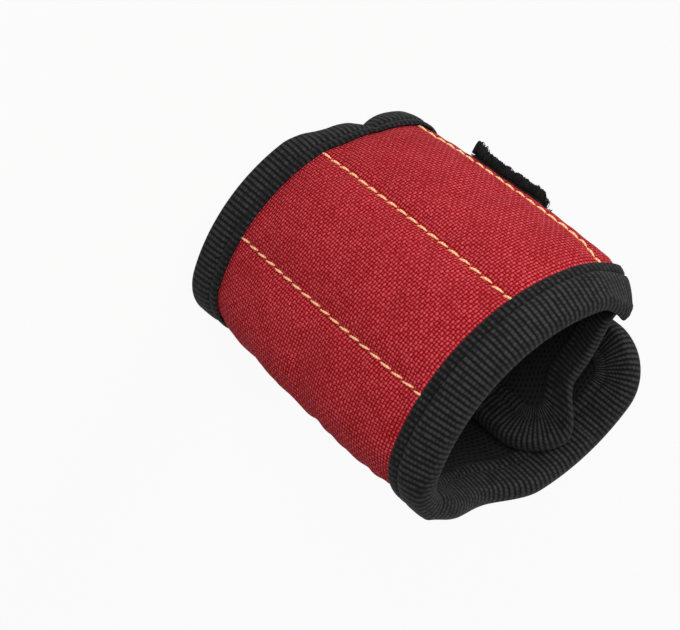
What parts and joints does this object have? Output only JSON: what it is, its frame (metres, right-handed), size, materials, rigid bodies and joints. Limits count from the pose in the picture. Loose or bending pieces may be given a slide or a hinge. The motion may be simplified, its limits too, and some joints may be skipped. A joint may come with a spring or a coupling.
{
  "type": "magnetic wristband",
  "caption": "Padded fabric wristband with stitched pockets that hold disc magnets for screws and bits, bound edges and a hook-and-loop closure.",
  "frame": {"origin": "middle of the box round the part, at the hand-side edge that it stands on", "axes": "+Z along the arm towards the elbow; the middle pocket faces -Y; +X towards the pocket next to the back panel"},
  "size_m": [0.0736, 0.053, 0.09],
  "materials": {
    "red_weave": "coarse basket weave, slight sheen",
    "seam_thread": "twisted topstitch thread",
    "edge_tape": "ribbed grosgrain tape",
    "lining_mesh": "black air mesh",
    "tray_foam": "closed-cell foam",
    "magnet_nickel": "nickel plate",
    "loop_tape": "fuzzy loop pile",
    "hook_tape": "moulded hooks"
  },
  "bodies": {
    "pocket_b": {"pocket_b_outer": "red_weave", "pocket_b_magnet_tray": "tray_foam", "pocket_b_lining": "lining_mesh", "pocket_b_magnet_1": "magnet_nickel", "pocket_b_magnet_2": "magnet_nickel", "pocket_b_magnet_3": "magnet_nickel", "pocket_b_magnet_4": "magnet_nickel", "pocket_b_magnet_5": "magnet_nickel", "pocket_b_binding_hand": "edge_tape", "pocket_b_binding_forearm": "edge_tape", "seam_thread_ab": "seam_thread", "seam_thread_bc": "seam_thread"},
    "pocket_a": {"pocket_a_outer": "red_weave", "pocket_a_magnet_tray": "tray_foam", "pocket_a_lining": "lining_mesh", "pocket_a_magnet_1": "magnet_nickel", "pocket_a_magnet_2": "magnet_nickel", "pocket_a_magnet_3": "magnet_nickel", "pocket_a_magnet_4": "magnet_nickel", "pocket_a_magnet_5": "magnet_nickel", "pocket_a_binding_hand": "edge_tape", "pocket_a_binding_forearm": "edge_tape", "seam_thread_loop": "seam_thread"},
    "pocket_c": {"pocket_c_outer": "red_weave", "pocket_c_magnet_tray": "tray_foam", "pocket_c_lining": "lining_mesh", "pocket_c_magnet_1": "magnet_nickel", "pocket_c_magnet_2": "magnet_nickel", "pocket_c_magnet_3": "magnet_nickel", "pocket_c_magnet_4": "magnet_nickel", "pocket_c_magnet_5": "magnet_nickel", "pocket_c_binding_hand": "edge_tape", "pocket_c_binding_forearm": "edge_tape", "seam_thread_back": "seam_thread"},
    "loop_end": {"loop_end_outer": "red_weave", "loop_end_foam": "tray_foam", "loop_end_lining": "lining_mesh", "loop_end_binding": "edge_tape", "loop_tape": "loop_tape"},
    "back_panel": {"back_panel_outer": "red_weave", "back_panel_foam": "tray_foam", "back_panel_lining": "lining_mesh", "back_panel_binding_hand": "edge_tape", "back_panel_binding_forearm": "edge_tape"},
    "hook_flap": {"hook_flap_outer": "red_weave", "hook_flap_foam": "tray_foam", "hook_flap_lining": "lining_mesh", "hook_flap_binding": "edge_tape", "hook_tape": "hook_tape"}
  },
  "joints": [
    {"name": "seam_back", "type": "hinge", "parent": "pocket_c", "child": "back_panel", "pos_m": [0.03545, 0.0028, 0.045], "axis": [0, 0, -1], "range_deg": [0, 60]},
    {"name": "seam_bc", "type": "hinge", "parent": "pocket_b", "child": "pocket_c", "pos_m": [0.02128, -0.0213, 0.045], "axis": [0, 0, -1], "range_deg": [0, 48]},
    {"name": "seam_ab", "type": "hinge", "parent": "pocket_b", "child": "pocket_a", "pos_m": [-0.00751, -0.02585, 0.045], "axis": [0, 0, 1], "range_deg": [0, 36]},
    {"name": "seam_loop", "type": "hinge", "parent": "pocket_a", "child": "loop_end", "pos_m": [-0.03338, -0.01226, 0.045], "axis": [0, 0, 1], "range_deg": [0, 30]},
    {"name": "flap_peel", "type": "hinge", "parent": "back_panel", "child": "hook_flap", "pos_m": [-0.00219, 0.02669, 0.045], "axis": [0, 0, -1], "range_deg": [0, 110]}
  ],
  "couplings": [
    {"joint": "seam_bc", "follows": "seam_back", "ratio": 0.8},
    {"joint": "seam_ab", "follows": "seam_back", "ratio": 0.6},
    {"joint": "seam_loop", "follows": "seam_back", "ratio": 0.5}
  ]
}
